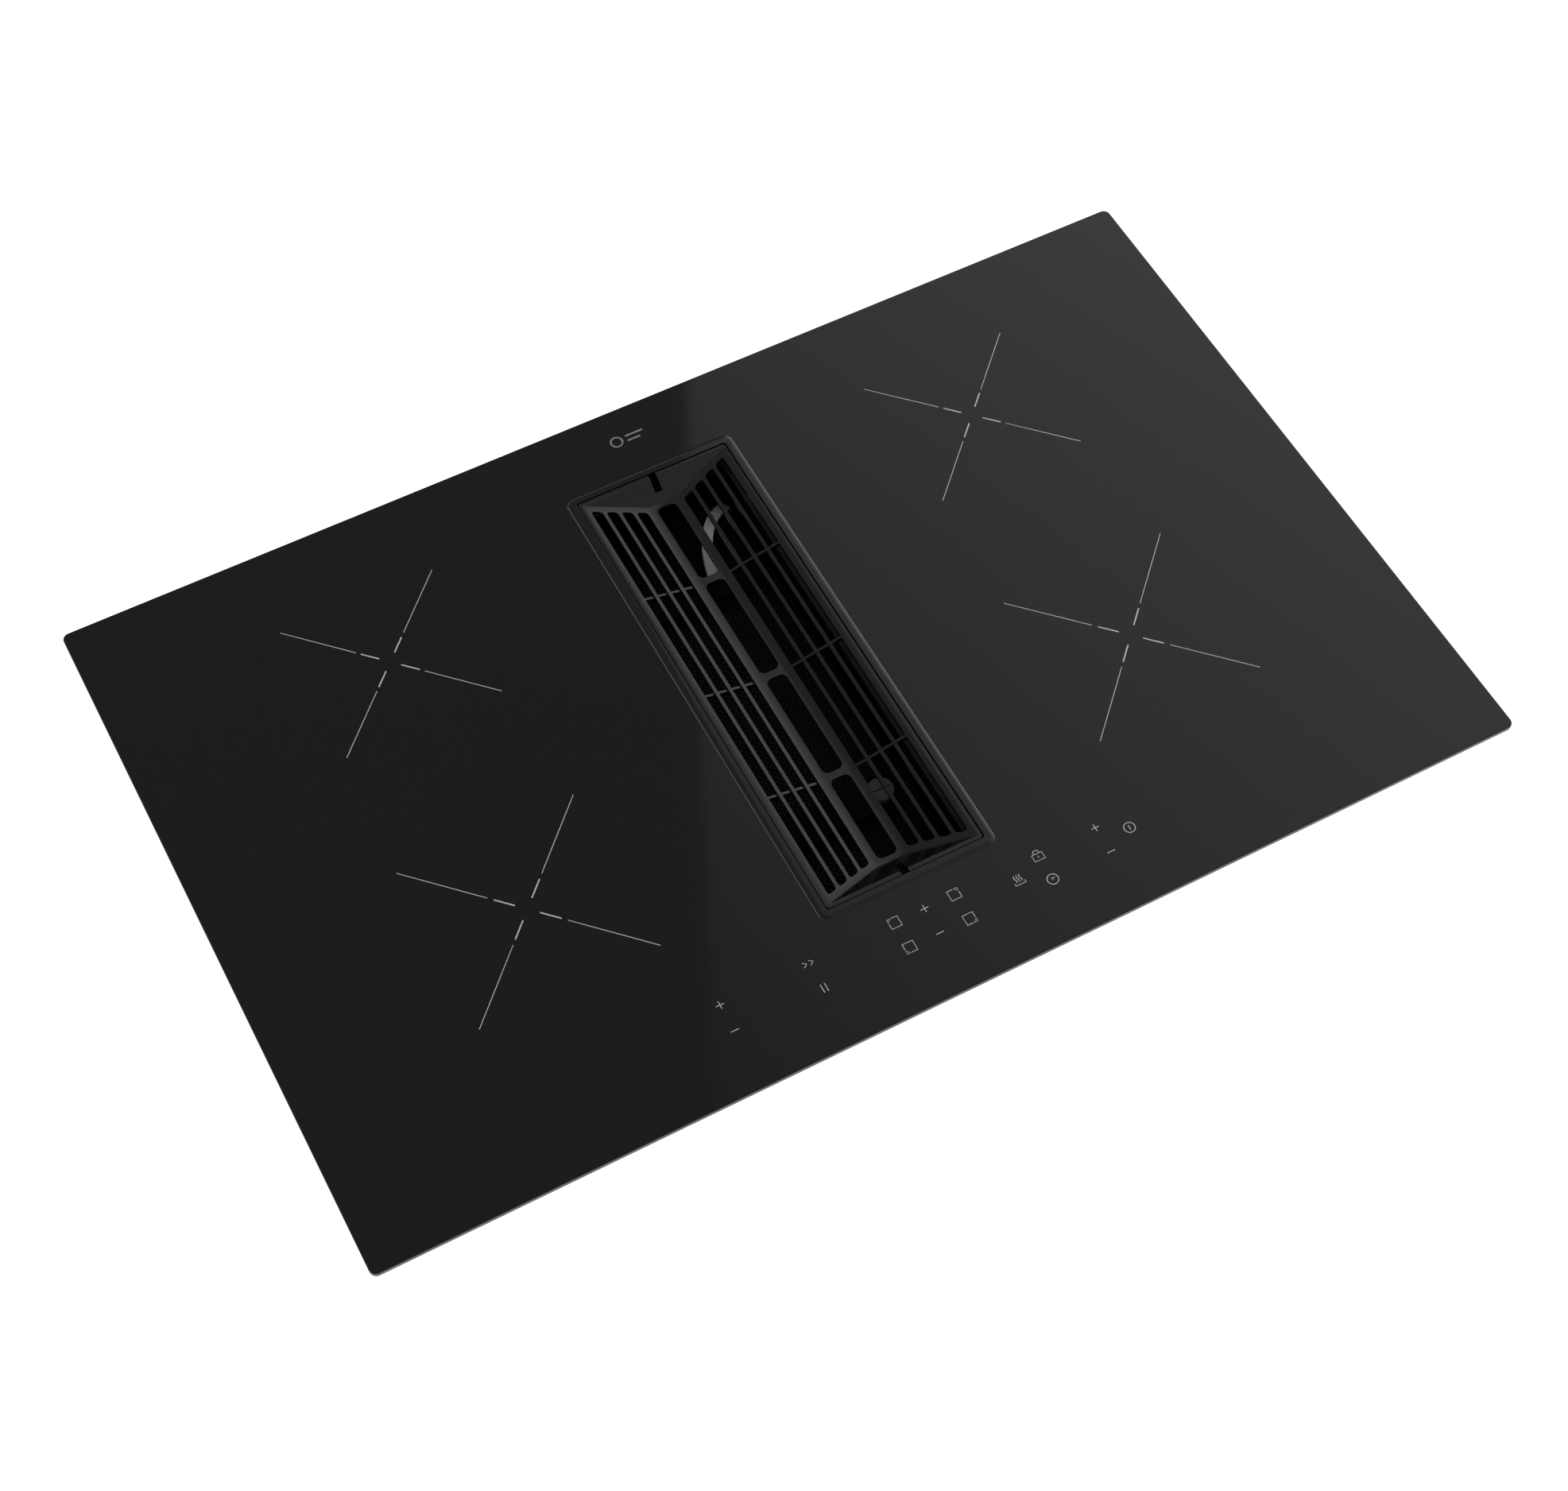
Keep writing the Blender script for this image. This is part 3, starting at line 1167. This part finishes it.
def make_zone(label, side, row):
    """Coil stack of one cooking zone: carrier, coil, heat shield and sensor."""
    from_front, outer, inner = ZONES[row]
    place = (side * (PLATE_HALF_X - ZONE_SIDE_INSET), from_front - PLATE_HALF_Y,
             COIL_SHELF_TOP + GAP)
    name = row + "_" + label
    zone = anchor("zone_" + name, place)
    rim = outer + CARRIER_MARGIN
    hub = SENSOR_RADIUS + SENSOR_CLEARANCE
    profile = [(rim, CARRIER_HEIGHT), (rim, 0), (hub, 0), (hub, CARRIER_HEIGHT)]
    piece(lathe("coil_carrier_" + name, profile, ROUND_STEPS, closed=True), "carrier", zone)
    low = CARRIER_HEIGHT + GAP
    profile = [(outer, low + COIL_HEIGHT), (outer, low), (inner, low), (inner, low + COIL_HEIGHT)]
    piece(lathe("coil_" + name, profile, ROUND_STEPS, closed=True), "copper", zone)
    low += COIL_HEIGHT + GAP
    profile = [(rim, low + SHIELD_HEIGHT), (rim, low), (hub, low), (hub, low + SHIELD_HEIGHT)]
    piece(lathe("heat_shield_" + name, profile, ROUND_STEPS, closed=True), "mica", zone)
    top = SHELF_DEPTH - 2 * GAP
    sensor = cylinder("temperature_sensor_" + name, SENSOR_RADIUS, 0, top)
    piece(add("temperature_sensor_" + name, sensor), "light_plastic", zone)


# ---------------------------------------------------------------- electronics

def make_power_board(label, side):
    """Circuit board with its tall components, beside the bay's outer wall."""
    name = "power_board_" + label
    half_x = BOARD_WIDTH / 2
    half_y = BOARD_DEPTH / 2
    board = flat_solid(name, [rounded_rectangle(half_x, half_y, BOARD_CORNER)], 0,
                       BOARD_THICKNESS)
    middle = (side * (BAY_HALF_X - BOARD_WALL_GAP - half_x),
              PLATE_HALF_Y - TRAY_INSET - BOARD_FROM_BACK - half_y,
              TRAY_INSIDE + BOARD_STANDOFF)
    board = piece(add(name, board, middle), "board")
    bm = bmesh.new()
    for x, y, width, depth, height in PARTS_ON_BOARD:
        verts = add_box(bm, (x - half_x, y - half_y, BOARD_THICKNESS / 2),
                        (x - half_x + width, y - half_y + depth, BOARD_THICKNESS + height))
        for vert in verts:
            vert.co.x *= -side
    half = BOARD_FOOT / 2
    for x in (-half_x + BOARD_FOOT, half_x - BOARD_FOOT):
        for y in (-half_y + BOARD_FOOT, half_y - BOARD_FOOT):
            add_box(bm, (x - half, y - half, GAP - BOARD_STANDOFF),
                    (x + half, y + half, BOARD_THICKNESS / 2))
    fuse(board, add(name + "_parts", mesh_from(bm, name + "_parts")))


def make_heat_sink(label, side):
    """Finned heat sink in front of the cooling fan."""
    name = "heat_sink_" + label
    half = SINK_WIDTH / 2
    pitch = (SINK_WIDTH - SINK_FIN_WIDTH) / (SINK_FINS - 1)
    outline = [(half, 0), (-half, 0)]
    for index in range(SINK_FINS):
        left = -half + index * pitch
        right = left + SINK_FIN_WIDTH
        outline += [(left, SINK_HEIGHT), (right, SINK_HEIGHT)]
        if index < SINK_FINS - 1:
            outline += [(right, SINK_BASE), (left + pitch, SINK_BASE)]
    sink = flat_solid(name, [outline[::-1]], -SINK_LENGTH / 2, SINK_LENGTH / 2)
    x, y = cooler_place(side)
    x = side * (BOX_HALF_X + BAY_CLEARANCE + SINK_WIDTH / 2)
    y -= COOLER_SIZE / 2 + BAY_CLEARANCE / 2 + SINK_LENGTH / 2
    place = (x, y, TRAY_INSIDE + FLOOR_STANDOFF)
    piece(add(name, sink, place, (math.pi / 2, 0, 0)), "aluminium")


def make_cooler(label, side):
    """Cooling fan: square frame with spokes, and the rotor in it."""
    x, y = cooler_place(side)
    cooler = anchor("cooler_" + label, (x, y, TRAY_INSIDE + FLOOR_STANDOFF))
    half = COOLER_SIZE / 2
    outline = rounded_rectangle(half, half, COOLER_CORNER)
    name = "cooling_fan_frame_" + label
    mesh = flat_solid(name, [outline, circle(COOLER_BORE)], 0, COOLER_HEIGHT)
    frame = piece(add(name, mesh), "dark_plastic", cooler)
    spoke = COOLER_SPOKE
    bars = boxes(name + "_spokes", [((-COOLER_BORE - spoke, -spoke, 2 * SKIM),
                                     (COOLER_BORE + spoke, spoke, spoke))])
    fuse(frame, add(name + "_spokes", bars))
    disc = cylinder(name + "_seat", COOLER_HUB, SKIM, spoke + SKIM)
    fuse(frame, add(name + "_seat", disc))

    name = "cooling_fan_rotor_" + label
    low = spoke + 2 * GAP
    hub = cylinder(name, COOLER_HUB, low, COOLER_HEIGHT - spoke)
    rotor = piece(add(name, hub), "dark_plastic", cooler)
    bm = bmesh.new()
    tip = COOLER_BORE - COOLER_TIP_CLEARANCE
    middle = (low + COOLER_HEIGHT - spoke) / 2
    half_width = COOLER_BLADE_WIDTH / 2
    half_wall = COOLER_BLADE_THICKNESS / 2
    for index in range(COOLER_BLADES):
        blade = add_box(bm, (COOLER_HUB - COOLER_BLADE_ROOT, -half_width, -half_wall),
                        (tip, half_width, half_wall))
        place = (Matrix.Rotation(2 * math.pi * index / COOLER_BLADES, 4, "Z")
                 @ Matrix.Translation((0, 0, middle))
                 @ Matrix.Rotation(math.radians(COOLER_BLADE_PITCH), 4, "X"))
        bmesh.ops.transform(bm, matrix=place, verts=blade)
    fuse(rotor, add(name + "_blades", mesh_from(bm, name + "_blades")))


def make_touch_controls():
    """Touch board under the printed keys, on a folded holder."""
    half_x = TOUCH_LENGTH / 2
    half_y = TOUCH_DEPTH / 2
    middle = -PLATE_HALF_Y + TOUCH_FRONT_INSET + half_y
    top = BODY_HEIGHT - TOUCH_BELOW_GLASS
    outline = rounded_rectangle(half_x, half_y, TOUCH_CORNER)
    mesh = flat_solid("touch_board", [outline], top - TOUCH_THICKNESS, top)
    piece(add("touch_board", mesh, (0, middle, 0)), "board")
    under = top - TOUCH_THICKNESS - GAP - HOLDER_THICKNESS / 2
    reach = half_y
    foot = TRAY_INSIDE + GAP
    fold = [(-reach, foot), (-reach, under), (reach, under), (reach, foot)]
    holder = folded_sheet("touch_board_holder", fold, TOUCH_LENGTH, HOLDER_THICKNESS)
    holder.location = (0, middle, 0)
    holder.rotation_euler = (0, 0, math.pi / 2)
    piece(holder, "dark_plastic")


def make_terminals():
    """Terminal block over its opening, its cover below, and the cable gland behind it."""
    x, y = terminal_place()
    width, depth, height = TERMINAL_SIZE
    low = TRAY_INSIDE + GAP
    half_x = width / 2 - TERMINAL_CLEARANCE
    half_y = depth / 2 - TERMINAL_CLEARANCE
    block = boxes("terminal_block", [((-half_x, -half_y, 0), (half_x, half_y, height))])
    block = piece(add("terminal_block", block, (x, y, low)), "light_plastic")
    pitch = width / TERMINAL_WELLS
    wells = [circle(TERMINAL_WELL_RADIUS, ((index - (TERMINAL_WELLS - 1) / 2) * pitch, 0),
                    SMALL_STEPS) for index in range(TERMINAL_WELLS)]
    wells = flat_solid("terminal_wells", wells, -CUT_MARGIN, TERMINAL_WELL_DEPTH)
    cut(block, add("terminal_wells", wells))

    outline = rounded_rectangle(width / 2 + COVER_MARGIN, depth / 2 + COVER_MARGIN,
                                COVER_CORNER)
    cover = flat_solid("terminal_cover", [outline], -COVER_THICKNESS, 0)
    piece(add("terminal_cover", cover, (x, y, TRAY_FLOOR - GAP)), "zinc_steel")

    wall = wall_at(GLAND_DEPTH, TRAY_HALF_Y, TRAY_DRAFT_Y)
    nut = GLAND_NUT_LENGTH
    slack = GLAND_NUT_RADIUS * TRAY_DRAFT_Y / TRAY_DEPTH + GLAND_CLEARANCE    # the wall slopes
    profile = [(GLAND_BORE, GLAND_OUTSIDE), (GLAND_RADIUS - GLAND_TAPER, GLAND_OUTSIDE),
               (GLAND_RADIUS, nut + slack), (GLAND_NUT_RADIUS, nut + slack),
               (GLAND_NUT_RADIUS, slack), (GLAND_RADIUS, slack),
               (GLAND_RADIUS, -GLAND_INSIDE), (GLAND_BORE, -GLAND_INSIDE)]
    gland = lathe("cable_gland", profile, ROUND_STEPS, closed=True)
    gland.location = (x, wall, BODY_HEIGHT - GLAND_DEPTH)
    gland.rotation_euler = (-math.pi / 2, 0, 0)
    piece(gland, "dark_plastic")


# ---------------------------------------------------------------- fixings

def make_clip(label, side, place):
    """Spring clip on the tray's side wall, and its screw."""
    stand = CLIP_CLEARANCE + CLIP_THICKNESS / 2
    fold = [(wall_at(depth, TRAY_HALF_X, TRAY_DRAFT_X) + stand + reach, BODY_HEIGHT - depth)
            for depth, reach in ((CLIP_TOP, 0), (CLIP_FOOT, 0), (CLIP_BELLY, CLIP_REACH),
                                 (CLIP_TAIL, 0))]
    name = "mounting_clip_" + label
    clip = folded_sheet(name, fold, CLIP_WIDTH, CLIP_THICKNESS)
    clip.location = (0, place, 0)
    clip.rotation_euler = (0, 0, 0 if side > 0 else math.pi)
    piece(clip, "steel")
    level = BODY_HEIGHT - SCREW_DEPTH
    hole = cylinder(name + "_hole", SCREW_RADIUS + GAP, -CUT_MARGIN, CUT_MARGIN)
    seat = wall_at(SCREW_DEPTH, TRAY_HALF_X, TRAY_DRAFT_X) + stand + CLIP_THICKNESS / 2
    cut(clip, add(name + "_hole", hole, (seat, 0, level), (0, math.pi / 2, 0)))

    head = SCREW_HEAD_HEIGHT
    clear = SCREW_CLEARANCE
    crown, shoulder = SCREW_HEAD_CROWN
    profile = [(0, head + clear), (SCREW_HEAD_RADIUS * crown, head + clear),
               (SCREW_HEAD_RADIUS, head * shoulder + clear), (SCREW_HEAD_RADIUS, clear),
               (SCREW_RADIUS, clear), (SCREW_RADIUS, clear - SCREW_LENGTH),
               (0, clear - SCREW_LENGTH)]
    screw = lathe("clip_screw_" + label, profile, SMALL_STEPS)
    screw.location = (side * seat, place, level)
    screw.rotation_euler = (0, side * math.pi / 2, 0)
    piece(screw, "steel")


def build():
    """Make every piece."""
    make_glass()
    make_seal()
    make_bezel()
    make_grille()
    make_filter(anchor("cassette", (0, OPENING_Y, FILTER_BOTTOM)))
    make_air_box()
    make_seat()
    make_tank()
    fan = anchor("fan", (0, FAN_Y, 0))
    make_scroll(fan)
    make_inlet(fan)
    make_impeller(fan)
    make_motor(fan)
    make_collar()
    make_tray()
    make_touch_controls()
    make_terminals()
    for label, side in SIDES.items():
        make_coil_shelf(label, side)
        make_power_board(label, side)
        make_heat_sink(label, side)
        make_cooler(label, side)
        for row in ZONES:
            make_zone(label, side, row)
        make_clip("front_" + label, side, -CLIP_SPREAD)
        make_clip("rear_" + label, side, CLIP_SPREAD)


clear_scene()
PIECES = new_collection("induction_hob")
CUTTERS = new_collection("cutters")
build()
